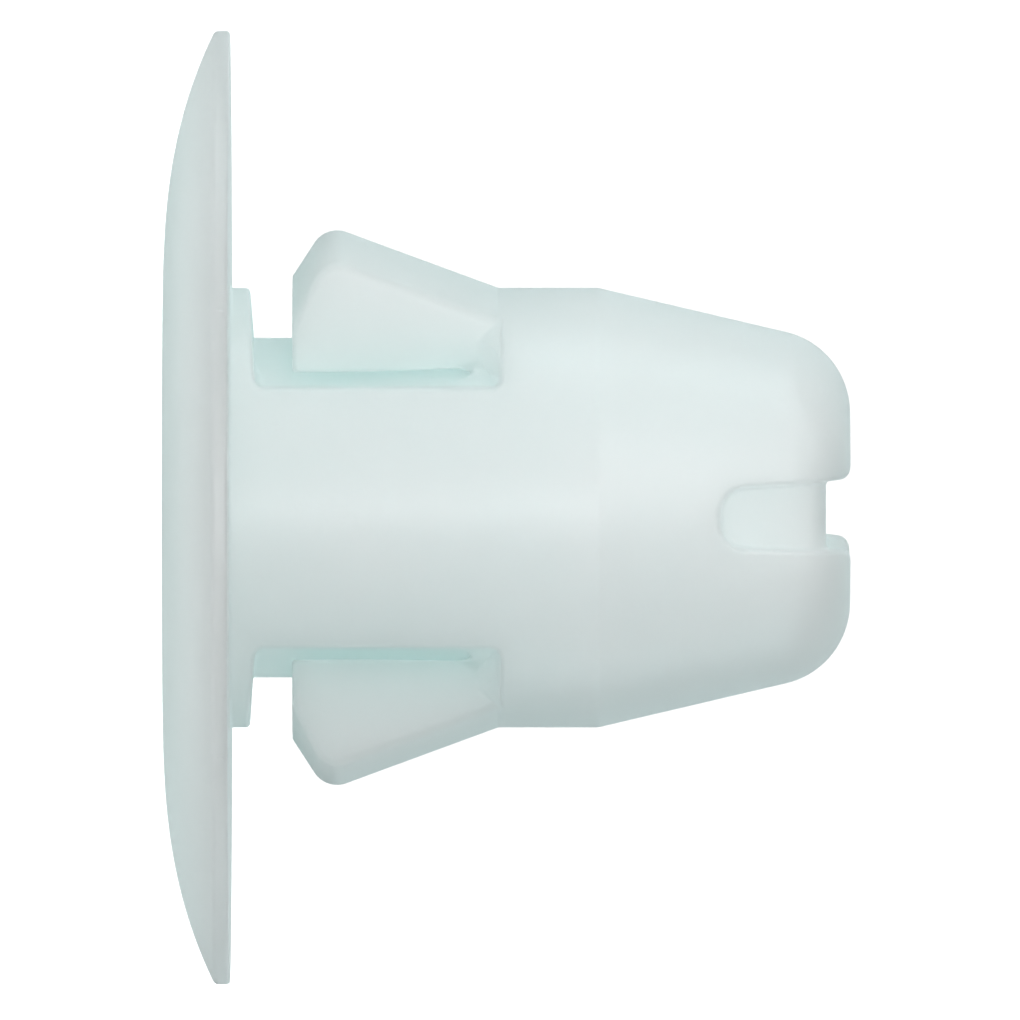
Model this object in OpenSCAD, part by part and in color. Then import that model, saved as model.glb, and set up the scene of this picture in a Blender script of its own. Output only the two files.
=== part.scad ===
// Nylon panel nut, moulded in one piece.
// It stands on the crown of its flange with the nose up: Z is the screw axis and z = 0 is the crown.
// The two spring wings are on the X sides, and the groove over the nose runs along Y.

/* [Flange] */
// Outer diameter of the flange
flange_d = 21.9; // [19:0.1:26]
// Height of the flange, from its crown to the face that seats on the panel
flange_h = 1.54; // [1.2:0.02:2.2]
// Thickness of the flange at its rim
rim_t = 0.38; // [0.3:0.02:0.6]
// Radius of the two edges of the rim
rim_round = 0.08; // [0.04:0.01:0.12]
// Diameter of the flat land in the middle of the crown
crown_land_d = 8.8; // [7.4:0.1:11]
// Slope of the crown where it runs into the rim, in degrees
crown_slope = 26; // [18:1:34]

/* [Shank] */
// Diameter of the shank, which enters the panel hole
shank_d = 10.1; // [9.6:0.05:10.8]
// Length of the shank, from the panel seat to the end of the nose
shank_l = 14.24; // [13:0.02:16]
// Length of the straight part of the shank, from the panel seat to the taper
straight_l = 8.45; // [7.8:0.05:9.2]
// Slope of the tapered nose against the axis, in degrees
nose_slope = 13.2; // [11:0.2:14.4]
// Radius of the rounding at the end of the nose
nose_round = 1.9; // [1.5:0.05:2]

/* [Screw bore] */
// Diameter of the bore that the tapping screw cuts its thread in
bore_d = 4; // [3.4:0.05:4.2]
// Diameter of the lead-in chamfer at the crown
lead_d = 5.6; // [4.8:0.05:6.4]

/* [Wing windows] */
// Height of the full collar under the flange, measured on the shank's surface
collar_h = 0.46; // [0.3:0.01:0.6]
// Draft of the collar's face towards the wing, in degrees
collar_draft = 3.5; // [2:0.5:8]
// Distance between the flat ledges of the two windows
ledge_w = 5.96; // [5.6:0.02:6.4]
// Radius in the corners of each window
window_round = 0.23; // [0.1:0.01:0.3]
// Diameter of the round core that shows in the windows, under the wings
core_d = 7.8; // [7.4:0.05:8]

/* [Wings] */
// Diameter over the tips of the relaxed wings
wing_d = 12.74; // [12.2:0.02:13.4]
// Clear height between the panel seat and the free end of each wing, which takes the panel
grip = 1.44; // [1.2:0.02:1.8]
// Height above the panel seat at which each wing's ramp leaves the shank
wing_root_h = 6.16; // [5.6:0.02:6.5]
// Length of shank surface between the ramp and the end of the window
wing_land = 0.05; // [0.03:0.01:0.3]
// Lean of the wing's back against the panel seat, in degrees
back_lean = 33; // [24:0.5:36]
// Height of the square free end of the wing, out from the shank's surface to the leaning back
back_land = 0.27; // [0.1:0.01:0.4]
// Radius of the wing's tip
tip_round = 0.62; // [0.4:0.02:0.8]
// Width of the wing at its root, on its inner edges
wing_root_w = 5.15; // [4.4:0.05:5.6]
// Angle at which each side of the wing spreads towards the free end, in degrees
wing_spread = 8.5; // [4:0.5:10]
// Draft of the wing's sides, narrower outwards, in degrees
wing_draft = 8; // [2:0.5:10]
// Slit between the wing's inner edges and the ledges of the window
slit = 0.33; // [0.2:0.01:0.4]
// Gap between the core and the hollow of the wing, at its free end
hollow_gap = 0.55; // [0.4:0.01:0.65]

/* [Nose groove] */
// Depth of the groove below the taper of the nose
groove_depth = 0.46; // [0.3:0.01:0.6]
// Depth of the groove below the end of the nose
groove_drop = 0.57; // [0.4:0.01:0.7]
// Radius of the groove's floor where it turns over the end of the nose
groove_turn = 0.5; // [0.3:0.02:0.8]
// Width of the groove at its closed ends
groove_end_w = 1.44; // [1.2:0.02:1.6]
// Width of the groove near the end of the nose
groove_tip_w = 1.62; // [1.5:0.02:1.9]
// Reach of the groove down the nose, measured from its end
groove_l = 3; // [2.4:0.05:3.4]
// Radius in the corners of the groove's closed ends
groove_round = 0.58; // [0.3:0.02:0.6]
// Radius by which its walls run out at the end of the nose
groove_mouth = 0.35; // [0.2:0.05:0.9]

/* [Hidden] */
$fn = 96;

// Points on each kind of curved stretch
crown_steps = 14;
rim_steps = 6;
round_steps = 12;

// Radii
flange_r = flange_d / 2;
land_r = crown_land_d / 2;
shank_r = shank_d / 2;
bore_r = bore_d / 2;
lead_r = lead_d / 2;
core_r = core_d / 2;
wing_r = wing_d / 2;

// Heights above the crown
seat_z = flange_h;
tip_z = seat_z + shank_l;
taper_z = seat_z + straight_l;
root_z = seat_z + wing_root_h;
window_end_z = root_z + wing_land;

// Room past the surfaces that a cut goes through, and reach of the blocks that trim a wing
margin = 1;
reach = flange_d;

// Centres of the roundings on the rim's two edges, and the point where the crown runs into the lower one
rim_high_c = [flange_r - rim_round, flange_h - rim_round];
rim_low_c = [flange_r - rim_round, flange_h - rim_t + rim_round];
crown_end = rim_low_c + rim_round * [sin(crown_slope), -cos(crown_slope)];
crown_power = tan(crown_slope) * (crown_end.x - land_r) / crown_end.y;

// Ledges of a window, and the height of its collar-side wall at distance x from the axis
ledge_x = ledge_w / 2;
function collar_z(x) = seat_z + collar_h + (shank_r - x) * tan(collar_draft);

// Lower end of the wing's leaning back, and the centre of the tip's rounding, which touches that back
back_low = [shank_r + back_land, seat_z + grip];
tip_c = let (r = wing_r - tip_round)
    [r, back_low.y + (r - back_low.x) * tan(back_lean) + tip_round / cos(back_lean)];

// Slope against the axis of the ramp, which runs from the root on the shank and touches the rounding
tip_from_root = [root_z - tip_c.y, tip_c.x - shank_r];
ramp_slope = atan2(tip_from_root.y, tip_from_root.x) + asin(tip_round / norm(tip_from_root));

// Closed end of the nose groove, the lean of its walls, and the centre of the rounding at its mouth
groove_z = tip_z - groove_l;
mouth_z = tip_z - groove_mouth * sin(45);
groove_lean = atan((groove_tip_w - groove_end_w) / 2 / (mouth_z - groove_z - groove_round));
mouth_c = [groove_tip_w / 2, mouth_z] + groove_mouth * [cos(groove_lean), -sin(groove_lean)];

// Points on an arc about c from one angle to another
function arc(c, r, from, to, steps) =
    [for (i = [0:steps]) let (a = from + (to - from) * i / steps) c + r * [cos(a), sin(a)]];

// Crown from its land to the rim: the drop grows with a power of the distance from the land
function crown_curve() =
    [for (i = [0:crown_steps]) let (t = i / crown_steps)
        [land_r + (crown_end.x - land_r) * t, crown_end.y * pow(t, crown_power)]];

// Taper, turn and end of the nose, with the taper set in by a depth and the end set down by a drop
function nose_outline(depth, drop, turn) =
    let (z = tip_z - drop - turn,
        r = shank_r - (z - taper_z) * tan(nose_slope) - (depth + turn) / cos(nose_slope))
    concat(
        [[shank_r - depth / cos(nose_slope), taper_z]],
        arc([r, z], turn, nose_slope, 90, round_steps),
        [[0, tip_z - drop]]);

// Solid of the flange, the shank and the nose, before anything is cut
module blank() {
    rotate_extrude()
        polygon(concat(
            [[0, 0]],
            crown_curve(),
            arc(rim_low_c, rim_round, crown_slope - 90, 0, rim_steps),
            arc(rim_high_c, rim_round, 0, 90, rim_steps),
            [[shank_r, seat_z]],
            nose_outline(0, 0, nose_round)));
}

// One window, cut straight through the shank down to two flat ledges, with the round core left between them
module window() {
    low = [ledge_x + window_round, collar_z(ledge_x + window_round) + window_round / cos(collar_draft)];
    high = [ledge_x + window_round, window_end_z - window_round];
    far = shank_r + margin;
    difference() {
        rotate([90, 0, 0])
            linear_extrude(height = 2 * far, center = true)
                polygon(concat(
                    [[far, collar_z(far)]],
                    arc(low, window_round, 270 - collar_draft, 180, round_steps),
                    arc(high, window_round, 180, 90, round_steps),
                    [[far, window_end_z]]));
        cylinder(h = window_end_z + margin, r = core_r);
    }
}

// Room between the drafted, spreading sides of a wing, on its own side of the axis
module wing_sides() {
    intersection_for (side = [0, 1])
        mirror([0, side, 0])
            translate([ledge_x + slit, wing_root_w / 2, root_z])
                rotate([wing_spread, 0, -wing_draft])
                    translate([-reach, -reach, -reach])
                        cube([2 * reach, reach, 2 * reach]);
}

// One spring wing: ramp, rounded tip and leaning back outside, a hollow cone inside, joined at its root
module wing() {
    root_deep_z = window_end_z + wing_land + slit;
    root_deep_r = shank_r - slit;
    root_in_r = core_r + slit;
    intersection() {
        rotate_extrude()
            polygon(concat(
                [[core_r + hollow_gap, back_low.y], back_low],
                arc(tip_c, tip_round, back_lean - 90, ramp_slope, round_steps),
                [[shank_r, root_z], [shank_r, window_end_z]],
                [[root_deep_r, root_deep_z], [root_in_r, root_deep_z], [root_in_r, window_end_z]]));
        wing_sides();
        translate([ledge_x + slit, -reach, 0])
            cube([reach, 2 * reach, reach]);
    }
}

// Groove over the nose: its outline seen from the side, cut down to a floor that follows the nose
module nose_groove() {
    corner = [groove_end_w / 2 - groove_round, groove_z + groove_round];
    top_z = tip_z + margin;
    wall = concat(
        [[0, groove_z]],
        arc(corner, groove_round, -90, -groove_lean, round_steps),
        arc(mouth_c, groove_mouth, 180 - groove_lean, 135, round_steps));
    intersection() {
        rotate([90, 0, 0])
            linear_extrude(height = 2 * shank_d, center = true)
                for (side = [0, 1])
                    mirror([side, 0])
                        polygon(concat(wall, [[mouth_c.x, top_z], [0, top_z]]));
        rotate([90, 0, 90])
            linear_extrude(height = shank_d, center = true)
                difference() {
                    translate([-shank_d, taper_z])
                        square([2 * shank_d, top_z - taper_z]);
                    for (side = [0, 1])
                        mirror([side, 0])
                            polygon(concat(
                                [[0, taper_z]],
                                nose_outline(groove_depth, groove_drop, groove_turn)));
                }
    }
}

// Screw bore through the whole nut, with its lead-in at the crown
module screw_bore() {
    lead_h = lead_r - bore_r;
    translate([0, 0, -margin])
        cylinder(h = tip_z + 2 * margin, r = bore_r);
    translate([0, 0, -margin])
        cylinder(h = lead_h + margin, r1 = lead_r + margin, r2 = bore_r);
}

// The whole nut
module panel_nut() {
    color("#dbe4e2")
        difference() {
            union() {
                difference() {
                    blank();
                    for (turn = [0, 180])
                        rotate([0, 0, turn])
                            window();
                }
                for (turn = [0, 180])
                    rotate([0, 0, turn])
                        wing();
            }
            nose_groove();
            screw_bore();
        }
}

panel_nut();
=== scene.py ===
import math

import bpy
import numpy as np
from mathutils import Matrix, Vector


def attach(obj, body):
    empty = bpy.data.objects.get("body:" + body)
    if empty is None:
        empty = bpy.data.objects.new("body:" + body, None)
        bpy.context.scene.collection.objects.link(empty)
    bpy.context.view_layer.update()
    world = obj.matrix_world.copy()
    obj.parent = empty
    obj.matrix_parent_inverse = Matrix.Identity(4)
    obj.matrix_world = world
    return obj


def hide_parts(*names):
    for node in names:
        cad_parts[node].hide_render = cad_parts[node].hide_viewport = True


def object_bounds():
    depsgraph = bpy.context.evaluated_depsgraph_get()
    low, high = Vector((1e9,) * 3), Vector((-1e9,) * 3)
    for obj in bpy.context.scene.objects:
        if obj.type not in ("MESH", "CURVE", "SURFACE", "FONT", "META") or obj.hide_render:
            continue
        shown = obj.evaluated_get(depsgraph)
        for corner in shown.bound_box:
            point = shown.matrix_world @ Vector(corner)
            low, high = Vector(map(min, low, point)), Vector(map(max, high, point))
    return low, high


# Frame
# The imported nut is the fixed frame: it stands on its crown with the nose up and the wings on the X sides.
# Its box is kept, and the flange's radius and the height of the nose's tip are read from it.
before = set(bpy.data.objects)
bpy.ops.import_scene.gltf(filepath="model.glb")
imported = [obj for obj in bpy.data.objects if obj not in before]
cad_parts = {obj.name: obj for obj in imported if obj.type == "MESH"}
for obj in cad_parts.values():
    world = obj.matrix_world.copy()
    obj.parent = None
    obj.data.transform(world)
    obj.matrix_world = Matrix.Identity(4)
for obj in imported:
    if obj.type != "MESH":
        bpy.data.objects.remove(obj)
cad_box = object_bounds()
mm = 0.001


# Flange
# The wide head that covers the panel hole: a shallow dome outside, flat where it seats on the panel.
# Natural nylon, moulded in one with the shank. Fields below are in millimetres, negative inside the nylon.
flange_r = cad_box[1][0] / mm
flange_h = 1.54
rim_t = 0.38
rim_round = 0.08
land_r = 4.4
crown_slope = math.radians(26)
crown_run = flange_r - rim_round + rim_round * math.sin(crown_slope) - land_r
crown_drop = flange_h - rim_t + rim_round - rim_round * math.cos(crown_slope)
crown_power = math.tan(crown_slope) * crown_run / crown_drop


def rounded_and(a, b, radius):
    """Common part of two fields, with an arc of that radius where their surfaces meet."""
    corner = np.hypot(np.maximum(a + radius, 0), np.maximum(b + radius, 0))
    return np.minimum(np.maximum(a, b), -radius) + corner


def flange_field(r, z):
    """Room above the crown curve, drop * t ** power, under the seat and inside the rim, with round edges."""
    t = np.clip((r - land_r) / crown_run, 0, 1.1)
    rise = crown_drop * crown_power / crown_run * t ** (crown_power - 1)
    crown = (crown_drop * t ** crown_power - z) / np.hypot(1, rise)
    rim = rounded_and(r - flange_r, z - flange_h, rim_round)
    return rounded_and(rim, crown, rim_round)


# Shank and nose
# The round body that enters the panel hole: a straight barrel, then a taper that is rounded over at the end.
# Moulded with the flange, which it meets in a small fillet.
shank_r = 5.05
straight_l = 8.45
nose_slope = math.radians(13.2)
nose_round = 1.9
flange_fillet = 0.08
tip_z = cad_box[1][2] / mm
taper_z = flange_h + straight_l


def nose_field(r, z, depth, drop, turn):
    """Taper set in by a depth, end plane set down by a drop, and the arc of radius turn that touches both."""
    taper = (r - shank_r + (z - taper_z) * math.tan(nose_slope)) * math.cos(nose_slope) + depth
    turn_z = tip_z - drop - turn
    turn_r = shank_r - (turn_z - taper_z) * math.tan(nose_slope) - (depth + turn) / math.cos(nose_slope)
    dr = r - turn_r
    dz = z - turn_z
    on_arc = (dr > 0) & (dz * math.cos(nose_slope) > dr * math.sin(nose_slope))
    return np.where(on_arc, np.hypot(dr, dz) - turn, np.maximum(taper, z - tip_z + drop))


def shank_field(r, z):
    """The larger of the barrel and the nose, from inside the flange up."""
    nose = nose_field(r, z, 0, 0, nose_round)
    return np.maximum(np.maximum(r - shank_r, nose), flange_h / 2 - z)


def rounded_or(a, b, radius):
    """Both fields together, with a fillet of that radius where their surfaces meet."""
    return -rounded_and(-a, -b, radius)


# Wing windows
# A rectangular window behind each wing, cut by a slide of the mould down to two flat ledges.
# A collar stays next to the flange, and the round core of the shank runs on between the ledges.
wing_root_h = 6.16
wing_land = 0.05
collar_h = 0.46
collar_draft = math.radians(3.5)
ledge_x = 2.98
window_round = 0.23
window_edge = 0.1
core_r = 3.9
core_fillet = 0.5
sharpest = 0.25
root_z = flange_h + wing_root_h
window_end_z = root_z + wing_land


def window_field(x, r, z):
    """Room above the ledges and the core, between the drafted collar and the window's end.

    The radius in its corners falls to a sharpest share outwards from the ledges."""
    floor = rounded_and(ledge_x - x, core_r - r, core_fillet)
    collar_z = flange_h + collar_h + (shank_r - x) * math.tan(collar_draft)
    corner = window_round * np.clip((ledge_x - x) / window_round + 2, sharpest, 1)
    room = rounded_and(floor, (collar_z - z) * math.cos(collar_draft), corner)
    return rounded_and(room, z - window_end_z, corner)


# Spring wings
# Two barbs that snap out behind the panel: a long ramp, a rounded tip and a leaning back that bears on it.
# Each is joined to the shank only at its root, into which it swells; its edges stand clear of the ledges.
wing_r = 6.37
grip = 1.44
back_lean = math.radians(33)
back_land = 0.27
tip_round = 0.62
wing_root_w = 5.15
wing_spread = math.radians(8.5)
wing_draft = math.radians(8)
wing_edge = 0.13
wing_inner_edge = 0.08
slit = 0.33
hollow_gap = 0.55
slit_fillet = 0.42
root_fillet = 0.75
root_run = 1.0
root_deep = 0.38
free_z = flange_h + grip
back_r = shank_r + back_land
tip_cr = wing_r - tip_round
tip_cz = free_z + (tip_cr - back_r) * math.tan(back_lean) + tip_round / math.cos(back_lean)
tip_away = math.hypot(root_z - tip_cz, tip_cr - shank_r)
ramp_slope = math.atan2(tip_cr - shank_r, root_z - tip_cz) + math.asin(tip_round / tip_away)


def wing_field(x, y, r, z):
    """Ramp, tip arc, back and free end carried round the axis, between drafted sides and outside a cone."""
    ramp = (r - shank_r - (root_z - z) * math.tan(ramp_slope)) * math.cos(ramp_slope)
    back = (r - back_r) * math.sin(back_lean) - (z - free_z) * math.cos(back_lean)
    dr = r - tip_cr
    dz = z - tip_cz
    past_ramp = dr * math.sin(ramp_slope) > dz * math.cos(ramp_slope)
    past_back = dr * math.cos(back_lean) + dz * math.sin(back_lean) > 0
    flat = np.maximum(np.minimum(ramp, r - shank_r), np.maximum(back, free_z - z))
    outside = np.where(past_ramp & past_back, np.hypot(dr, dz) - tip_round, flat)
    lean_x = math.sin(wing_draft) * math.cos(wing_spread)
    lean_y = math.cos(wing_draft) * math.cos(wing_spread)
    lean_z = math.sin(wing_spread)
    side = (x - ledge_x - slit) * lean_x + (y - wing_root_w / 2) * lean_y + (z - root_z) * lean_z
    root_share = (z - free_z) / (window_end_z - free_z)
    hollow = core_r + hollow_gap + (slit - hollow_gap) * root_share - r
    inner = rounded_and(hollow, ledge_x + slit - x, wing_inner_edge)
    shell = rounded_and(rounded_and(outside, side, wing_edge), inner, wing_inner_edge)
    return np.maximum(shell, z - window_end_z - root_deep)


# Nose groove
# A flat-floored groove over the end of the nose, in line with the wings' hinges, for a driver or a core pin.
# It is closed and rounded at both ends, widens a little, and its walls run out round at the end of the nose.
groove_depth = 0.46
groove_drop = 0.57
groove_turn = 0.5
groove_end_w = 1.44
groove_tip_w = 1.62
groove_l = 3.0
groove_round = 0.58
groove_mouth = 0.35
groove_edge = 0.1
groove_z = tip_z - groove_l
mouth_z = tip_z - groove_mouth * math.sqrt(0.5)
groove_lean = math.atan((groove_tip_w - groove_end_w) / 2 / (mouth_z - groove_z - groove_round))
mouth_cx = groove_tip_w / 2 + groove_mouth * math.cos(groove_lean)
mouth_cz = mouth_z - groove_mouth * math.sin(groove_lean)


def groove_field(x, y, z):
    """Room between two leaning walls, each with an arc at the mouth, above the closed end and the floor."""
    wall = (x - groove_tip_w / 2) * math.cos(groove_lean) - (z - mouth_z) * math.sin(groove_lean)
    mouth = groove_mouth - np.hypot(np.minimum(x - mouth_cx, 0), z - mouth_cz)
    wall = np.where(z > mouth_z, mouth, wall)
    plan = rounded_and(wall, groove_z - z, groove_round)
    return rounded_and(plan, -nose_field(y, z, groove_depth, groove_drop, groove_turn), groove_edge)


# Screw bore
# The hole that the tapping screw cuts its own thread in, right through the nut, with a lead-in at the crown.
# A core pin of the mould leaves it smooth.
bore_r = 2.0
lead_r = 2.8
bore_edge = 0.08


def bore_field(r, z):
    """Inside of the bore's cylinder or of the 45 degree lead-in cone."""
    return np.minimum(r - bore_r, (r - lead_r + z) * math.sqrt(0.5))


# Moulded nut
# All of the above is one shot of nylon, so it is one closed surface with a fillet at every corner.
# Plain grids of two parameters can't carry those fillets, so the surface is where the whole field is zero.
def nut_field(x, y, z):
    """Field of the whole nut, the same on both sides of the X and the Y plane.

    The fillet beside a wing grows over its last stretch to the root, and ends at the shank's surface."""
    r = np.hypot(x, y)
    x = np.abs(x)
    y = np.abs(y)
    body = rounded_and(shank_field(r, z), -window_field(x, r, z), window_edge)
    body = rounded_or(body, flange_field(r, z), flange_fillet)
    swell = slit_fillet + (root_fillet - slit_fillet) * np.clip((z - root_z) / root_run + 1, 0, 1)
    fillet = swell * np.clip((shank_r - r) / slit, 0, 1)
    body = rounded_or(body, wing_field(x, y, r, z), fillet)
    body = rounded_and(body, -groove_field(x, y, z), groove_edge)
    return rounded_and(body, -bore_field(r, z), bore_edge)


def grid_lines(*stretches):
    """Grid lines through stretches of (end, step), the first of which starts at its end."""
    lines = [np.array([stretches[0][0]])]
    for (start, _), (end, step) in zip(stretches, stretches[1:]):
        count = math.ceil((end - start) / step)
        lines.append(start + (end - start) * np.arange(1, count + 1) / count)
    return np.concatenate(lines)


# The grid goes out from the axis, round it and up it. Its steps are short at edges and long on plain walls.
r_lines = grid_lines(
    (bore_r - 0.2, 0.1), (bore_r + 0.3, 0.05), (ledge_x - 0.03, 0.07), (core_r - 0.1, 0.09),
    (core_r + 0.2, 0.04), (core_r + 0.7, 0.04), (shank_r - 0.15, 0.06), (shank_r + 0.15, 0.045),
    (wing_r + 0.13, 0.08), (flange_r - 0.55, 0.3), (flange_r - 0.2, 0.08), (flange_r + 0.1, 0.025))
z_lines = grid_lines(
    (-0.1, 0.1), (0.1, 0.05), (flange_h - 0.49, 0.09), (flange_h + 0.06, 0.03), (flange_h + 0.66, 0.05),
    (free_z + 0.22, 0.06), (root_z - 1.1, 0.1), (root_z + 0.3, 0.04), (taper_z - 0.09, 0.2),
    (groove_z - 0.18, 0.15), (tip_z - 0.58, 0.1), (tip_z + 0.1, 0.05))
turn_count = 480
turns = np.arange(turn_count) * 2 * math.pi / turn_count
turn_step = turns[1]

# The nut repeats in every quarter turn, mirrored, so only the first quarter is worked out.
half_count = turn_count // 2
folded = np.arange(turn_count) % half_count
folded = np.minimum(folded, half_count - folded)
quarter = turns[:half_count // 2 + 1]
R, T, Z = np.meshgrid(r_lines, quarter, z_lines, indexing="ij")
value = nut_field(R * np.cos(T), R * np.sin(T), Z)[:, folded].astype(np.float32)
inside = value < 0


def cell_corner(array, i, j, k):
    """The grid's values at one corner of every cell, which wrap round with the turn."""
    rolled = np.roll(array, -j, axis=1)
    return rolled[i:array.shape[0] - 1 + i, :, k:array.shape[2] - 1 + k]


# Each cell that the surface passes through gets one point, the mean of the crossings on the cell's edges.
corners = [(i, j, k) for i in (0, 1) for j in (0, 1) for k in (0, 1)]
filled = sum(cell_corner(inside, *c).astype(np.int8) for c in corners)
active = (filled > 0) & (filled < 8)
cell_i, cell_j, cell_k = np.nonzero(active)
crossing_sum = np.zeros((len(cell_i), 3))
crossing_count = np.zeros(len(cell_i))
for a in corners:
    for axis in range(3):
        if a[axis] == 1:
            continue
        b = tuple(1 if n == axis else a[n] for n in range(3))
        va = value[cell_i + a[0], (cell_j + a[1]) % turn_count, cell_k + a[2]]
        vb = value[cell_i + b[0], (cell_j + b[1]) % turn_count, cell_k + b[2]]
        crossed = (va < 0) != (vb < 0)
        share = np.where(crossed, va / np.where(crossed, va - vb, 1), 0)
        spot = np.stack([
            r_lines[cell_i + a[0]] * (1 - share) + r_lines[cell_i + b[0]] * share,
            turns[cell_j] + turn_step * (a[1] * (1 - share) + b[1] * share),
            z_lines[cell_k + a[2]] * (1 - share) + z_lines[cell_k + b[2]] * share], axis=1)
        crossing_sum += spot * crossed[:, None]
        crossing_count += crossed
spots = crossing_sum / crossing_count[:, None]
points = np.stack([
    spots[:, 0] * np.cos(spots[:, 1]),
    spots[:, 0] * np.sin(spots[:, 1]),
    spots[:, 2]], axis=1)


def field_slope(p, step=0.002):
    """Slope of the nut's field at points p, from small steps both ways along each axis."""
    slope = np.empty_like(p)
    for axis in range(3):
        shift = np.zeros(3)
        shift[axis] = step
        slope[:, axis] = (nut_field(*(p + shift).T) - nut_field(*(p - shift).T)) / (2 * step)
    return slope


# A few steps down the slope bring the points onto the surface.
settle_steps = 4
least_steep = 0.2
for _ in range(settle_steps):
    slope = field_slope(points)
    points -= slope * (nut_field(*points.T) / np.maximum((slope ** 2).sum(1), least_steep))[:, None]

# Each grid edge that the surface crosses gets a face between the points of the four cells round it.
number = np.full(active.shape, -1)
number[active] = np.arange(len(points))
around = {
    0: [(0, -1, -1), (0, 0, -1), (0, 0, 0), (0, -1, 0)],
    1: [(-1, 0, -1), (-1, 0, 0), (0, 0, 0), (0, 0, -1)],
    2: [(-1, -1, 0), (0, -1, 0), (0, 0, 0), (-1, 0, 0)],
}
quads = []
for axis, cells in around.items():
    ahead = np.roll(inside, -1, axis=axis)
    changed = inside != ahead
    if axis != 1:
        last = [slice(None)] * 3
        last[axis] = -1
        changed[tuple(last)] = False
    i, j, k = np.nonzero(changed)
    quad = np.stack([number[i + a, (j + b) % turn_count, k + c] for a, b, c in cells], axis=1)
    outward = inside[i, j, k]
    quads.append(np.where(outward[:, None], quad, quad[:, ::-1]))
quads = np.concatenate(quads)

nut_mesh = bpy.data.meshes.new("panel_nut_skin")
nut_mesh.from_pydata(points * mm, [], quads)
nut_mesh.update()
nut = bpy.data.objects.new("panel_nut_skin", nut_mesh)
bpy.context.scene.collection.objects.link(nut)

# Faces are thinned where the surface is plain, and the shading is taken from the field again.
most_triangles = 190000
thin = nut.modifiers.new("thin", "DECIMATE")
thin.ratio = min(1, most_triangles / (2 * len(quads)))
bpy.context.view_layer.update()
thinned = bpy.data.meshes.new_from_object(nut.evaluated_get(bpy.context.evaluated_depsgraph_get()))
nut.modifiers.clear()
nut.data = thinned
co = np.empty(len(thinned.vertices) * 3)
thinned.vertices.foreach_get("co", co)
spots = co.reshape(-1, 3) / mm
slope = field_slope(spots)
slope /= np.linalg.norm(slope, axis=1)[:, None]
thinned.shade_smooth()
thinned.normals_split_custom_set_from_vertices(slope)
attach(nut, "root")
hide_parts("panel_nut")


def linear(code):
    """Linear colour of an sRGB hex value."""
    srgb = np.array([int(code[n:n + 2], 16) for n in (1, 3, 5)]) / 255
    rgb = np.where(srgb <= 0.04045, srgb / 12.92, ((srgb + 0.055) / 1.055) ** 2.4)
    return (*rgb.tolist(), 1.0)


def add_node(tree, kind, settings=None, links=None):
    """Adds a node, sets its own properties and sockets, and links its inputs."""
    node = tree.nodes.new(kind)
    for name, setting in (settings or {}).items():
        if isinstance(name, str) and hasattr(node, name):
            setattr(node, name, setting)
        else:
            node.inputs[name].default_value = setting
    for name, source in (links or {}).items():
        tree.links.new(source, node.inputs[name])
    return node


# Natural nylon, injection moulded: unpigmented, so milky and a little green-blue, and pale at thin edges.
# Its clouds are a few millimetres wide. The mould's grain is finer, and is drawn coarser so that it shows.
cloud_size = 3.0 * mm
grain_size = 0.12 * mm
grain_depth = 0.01 * mm
light_reach = 4.0 * mm
nylon = bpy.data.materials.new("natural_nylon_moulded")
nylon.use_nodes = True
tree = nylon.node_tree
tree.nodes.clear()
place = add_node(tree, "ShaderNodeTexCoord").outputs["Object"]
cloud = add_node(
    tree, "ShaderNodeTexNoise", {"Scale": 1 / cloud_size, "Detail": 3.0}, {"Vector": place})
tint = add_node(
    tree, "ShaderNodeMix", {"data_type": "RGBA", 6: linear("#edf6f5"), 7: linear("#f3fbfa")},
    {"Factor": cloud.outputs["Fac"]})
grain = add_node(
    tree, "ShaderNodeTexNoise", {"Scale": 1 / grain_size, "Detail": 2.0}, {"Vector": place})
skin = add_node(
    tree, "ShaderNodeBump", {"Strength": 0.25, "Distance": grain_depth}, {"Height": grain.outputs["Fac"]})
shader = add_node(
    tree, "ShaderNodeBsdfPrincipled",
    {"Roughness": 0.42, "IOR": 1.53, "Subsurface Weight": 1.0, "Subsurface Scale": light_reach,
     "Subsurface Radius": (1.0, 1.0, 1.0)},
    {"Base Color": tint.outputs[2], "Normal": skin.outputs["Normal"]})
# Lamp light partly passes the thin nylon, so that the slits behind the wings stay pale.
shadow_ray = add_node(tree, "ShaderNodeLightPath").outputs["Is Shadow Ray"]
passed = add_node(tree, "ShaderNodeMapRange", {"To Max": 0.85}, {"Value": shadow_ray})
clear = add_node(tree, "ShaderNodeBsdfTransparent", {"Color": linear("#eaf3f2")})
milky = add_node(
    tree, "ShaderNodeMixShader", {},
    {0: passed.outputs["Result"], 1: shader.outputs["BSDF"], 2: clear.outputs["BSDF"]})
add_node(tree, "ShaderNodeOutputMaterial", {}, {"Surface": milky.outputs["Shader"]})
nut.data.materials.clear()
nut.data.materials.append(nylon)


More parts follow.
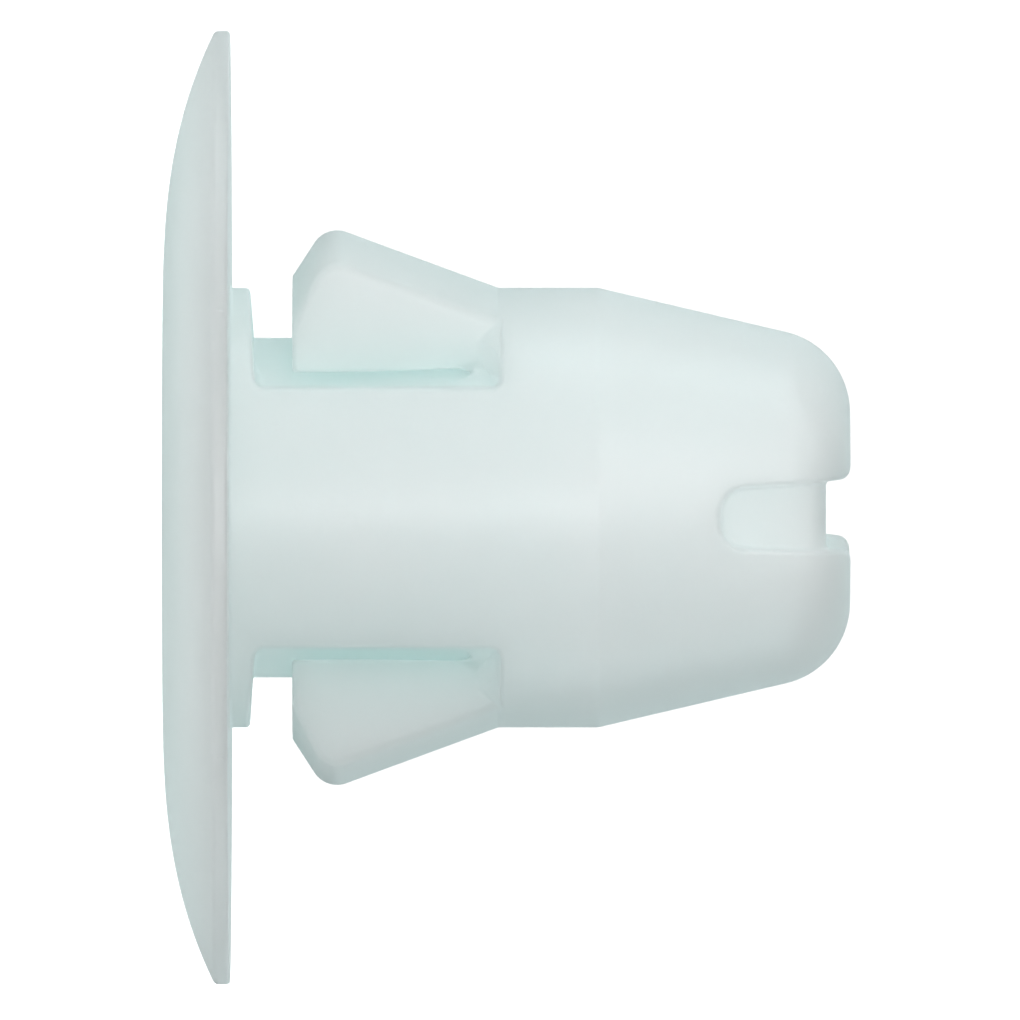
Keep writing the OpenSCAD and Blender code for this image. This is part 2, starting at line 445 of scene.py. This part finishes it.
# Floor
# A plain table top a hair under the crown, which the camera sees as pure white.
# It is lit through under the flange, like a light table, so that the dome's underside stays pale.
floor_r = 0.5
floor_gap = 0.02 * mm
glow_r = 12 * mm
glow_end_r = 14 * mm
white = linear("#ffffff")
floor_mesh = bpy.data.meshes.new("floor")
floor_corners = np.array([[-1, -1, 0], [1, -1, 0], [1, 1, 0], [-1, 1, 0]]) * floor_r
floor_mesh.from_pydata(floor_corners, [], [[0, 1, 2, 3]])
floor = bpy.data.objects.new("floor", floor_mesh)
floor.location.z = -floor_gap
bpy.context.scene.collection.objects.link(floor)
table_top = bpy.data.materials.new("white_table_top")
table_top.use_nodes = True
table_shader = table_top.node_tree.nodes["Principled BSDF"]
table_shader.inputs["Base Color"].default_value = linear("#f2f2f2")
table_shader.inputs["Roughness"].default_value = 0.9
table_shader.inputs["Emission Color"].default_value = white
floor_mesh.materials.append(table_top)
tree = table_top.node_tree
spot = add_node(tree, "ShaderNodeTexCoord").outputs["Object"]
away = add_node(tree, "ShaderNodeVectorMath", {"operation": "LENGTH"}, {0: spot})
glow = add_node(
    tree, "ShaderNodeMapRange", {"From Min": glow_r, "From Max": glow_end_r, "To Min": 0.15, "To Max": 0.0},
    {"Value": away.outputs["Value"]})
ray = add_node(tree, "ShaderNodeLightPath").outputs["Is Camera Ray"]
seen = add_node(
    tree, "ShaderNodeMapRange", {"To Max": 1.0}, {"Value": ray, "To Min": glow.outputs["Result"]})
tree.links.new(seen.outputs["Result"], table_shader.inputs["Emission Strength"])


# Studio light
# Soft boxes in front and at both sides, and a broad pale backdrop that shines on and through the thin edges.
# The surround is plain white to the camera and gives no light of its own.
world = bpy.data.worlds.new("white_surround")
bpy.context.scene.world = world
world.use_nodes = True
tree = world.node_tree
tree.nodes.clear()
ray = add_node(tree, "ShaderNodeLightPath").outputs["Is Camera Ray"]
seen = add_node(tree, "ShaderNodeMapRange", {"To Max": 1.1}, {"Value": ray})
surround = add_node(tree, "ShaderNodeBackground", {"Color": white}, {"Strength": seen.outputs["Result"]})
add_node(tree, "ShaderNodeOutputWorld", {}, {"Surface": surround.outputs["Background"]})
bpy.context.scene.view_settings.view_transform = "Standard"


def soft_box(name, toward, distance, size, power, tint):
    """A square area light at a distance from the middle of the nut, facing it; power is in watts."""
    light = bpy.data.lights.new(name, "AREA")
    light.shape = "SQUARE"
    light.size = size
    light.energy = power
    light.color = tint[:3]
    lamp = bpy.data.objects.new(name, light)
    way = Vector(toward).normalized()
    lamp.location = Vector((0, 0, tip_z / 2 * mm)) + way * distance
    lamp.rotation_euler = way.to_track_quat("Z", "Y").to_euler()
    bpy.context.scene.collection.objects.link(lamp)


cool = linear("#e6f8f8")
box_away = 0.5
box_size = 0.2
soft_box("camera_side", (-0.066, -1.0, 0.0), 3.3, 0.3, 36, white)
soft_box("front", (-0.15, -1.0, 0.6), box_away, box_size, 0.5, white)
soft_box("front_left", (-0.6, -1.0, 0.6), box_away, box_size, 0.38, white)
soft_box("high_left", (-1.4, -1.0, 1.5), box_away, box_size, 0.18, white)
soft_box("left", (-1.0, 0.0, 0.15), box_away, box_size, 0.62, cool)
soft_box("right", (1.0, 0.0, 0.15), box_away, box_size, 0.46, cool)
soft_box("backdrop", (0.0, 1.0, 0.0), 0.4, 1.2, 4.8, cool)


# Camera
# A long lens square to the axis, held on its side so that the nose points right.
# It is turned a little round the axis, so that one wing's window shows more than the other's.
image_px = 1020
pixel = 0.022967 * mm
swing = math.radians(-3.5)
distance = 1.1
aim_z = 7.97 * mm
aim_down = 0.055 * mm
to_camera = Vector((math.sin(swing), -math.cos(swing), 0))
right = Vector((0, 0, 1))
up = Vector((-math.cos(swing), -math.sin(swing), 0))
target = right * aim_z - up * aim_down
camera_data = bpy.data.cameras.new("camera")
camera_data.sensor_width = 36
camera_data.lens = camera_data.sensor_width * distance / (image_px * pixel)
camera_data.clip_start = 0.05
camera = bpy.data.objects.new("camera", camera_data)
stand = target + to_camera * distance
camera.matrix_world = Matrix((
    (right[0], up[0], to_camera[0], stand[0]),
    (right[1], up[1], to_camera[1], stand[1]),
    (right[2], up[2], to_camera[2], stand[2]),
    (0, 0, 0, 1)))
bpy.context.scene.collection.objects.link(camera)
bpy.context.scene.camera = camera
